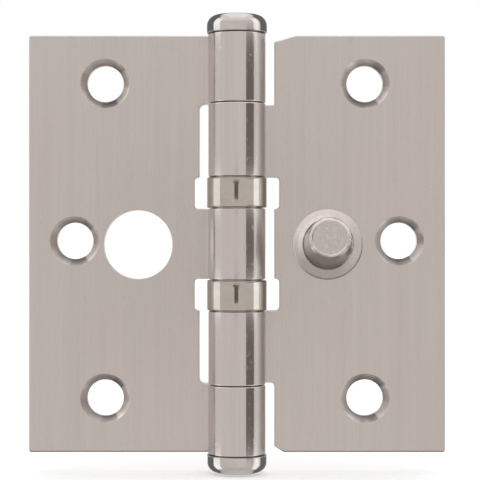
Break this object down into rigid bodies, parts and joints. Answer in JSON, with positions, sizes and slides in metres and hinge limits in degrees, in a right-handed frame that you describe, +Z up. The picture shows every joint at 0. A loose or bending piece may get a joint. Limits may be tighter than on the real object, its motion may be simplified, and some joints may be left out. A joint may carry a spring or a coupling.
{
  "type": "ball bearing butt hinge",
  "caption": "Square steel butt hinge with ball bearings between rolled knuckles, button tips and a security stud that enters a hole in the other leaf.",
  "frame": {"origin": "on the pin's axis at half the hinge's height", "axes": "+Z up along the pin; the frame leaf lies at -X and the door leaf at +X, opened flat; the countersunk faces look towards -Y"},
  "size_m": [0.089, 0.0128, 0.0974],
  "materials": {
    "leaf_metal": "satin brushed along the pin",
    "polished_metal": "mirror polished",
    "stud_metal": "satin turned",
    "pin_steel": "ground",
    "bearing_steel": "lapped",
    "cage_brass": "plain"
  },
  "bodies": {
    "frame_side": {"frame_leaf": "leaf_metal", "hinge_pin": "pin_steel", "top_tip": "polished_metal", "bottom_tip": "polished_metal", "upper_bearing_housing": "polished_metal", "upper_bearing_bottom_race": "bearing_steel", "lower_bearing_top_race": "bearing_steel"},
    "door_side": {"door_leaf": "leaf_metal", "security_stud": "stud_metal", "upper_bearing_top_race": "bearing_steel", "lower_bearing_housing": "polished_metal", "lower_bearing_bottom_race": "bearing_steel"},
    "upper_ball_ring": {"upper_bearing_cage": "cage_brass", "upper_bearing_ball_1": "bearing_steel", "upper_bearing_ball_2": "bearing_steel", "upper_bearing_ball_3": "bearing_steel", "upper_bearing_ball_4": "bearing_steel", "upper_bearing_ball_5": "bearing_steel", "upper_bearing_ball_6": "bearing_steel", "upper_bearing_ball_7": "bearing_steel", "upper_bearing_ball_8": "bearing_steel", "upper_bearing_ball_9": "bearing_steel", "upper_bearing_ball_10": "bearing_steel"},
    "lower_ball_ring": {"lower_bearing_cage": "cage_brass", "lower_bearing_ball_1": "bearing_steel", "lower_bearing_ball_2": "bearing_steel", "lower_bearing_ball_3": "bearing_steel", "lower_bearing_ball_4": "bearing_steel", "lower_bearing_ball_5": "bearing_steel", "lower_bearing_ball_6": "bearing_steel", "lower_bearing_ball_7": "bearing_steel", "lower_bearing_ball_8": "bearing_steel", "lower_bearing_ball_9": "bearing_steel", "lower_bearing_ball_10": "bearing_steel"}
  },
  "joints": [
    {"name": "door_leaf_swing", "type": "hinge", "parent": "frame_side", "child": "door_side", "pos_m": [0, 0, 0], "axis": [0, 0, 1], "range_deg": [-180, 95]},
    {"name": "upper_ball_ring_turn", "type": "hinge", "parent": "frame_side", "child": "upper_ball_ring", "pos_m": [0, 0, 0.01085], "axis": [0, 0, 1], "range_deg": [-90, 47.5]},
    {"name": "lower_ball_ring_turn", "type": "hinge", "parent": "frame_side", "child": "lower_ball_ring", "pos_m": [0, 0, -0.01085], "axis": [0, 0, 1], "range_deg": [-90, 47.5]}
  ],
  "couplings": [
    {"joint": "upper_ball_ring_turn", "follows": "door_leaf_swing", "ratio": 0.5},
    {"joint": "lower_ball_ring_turn", "follows": "door_leaf_swing", "ratio": 0.5}
  ]
}
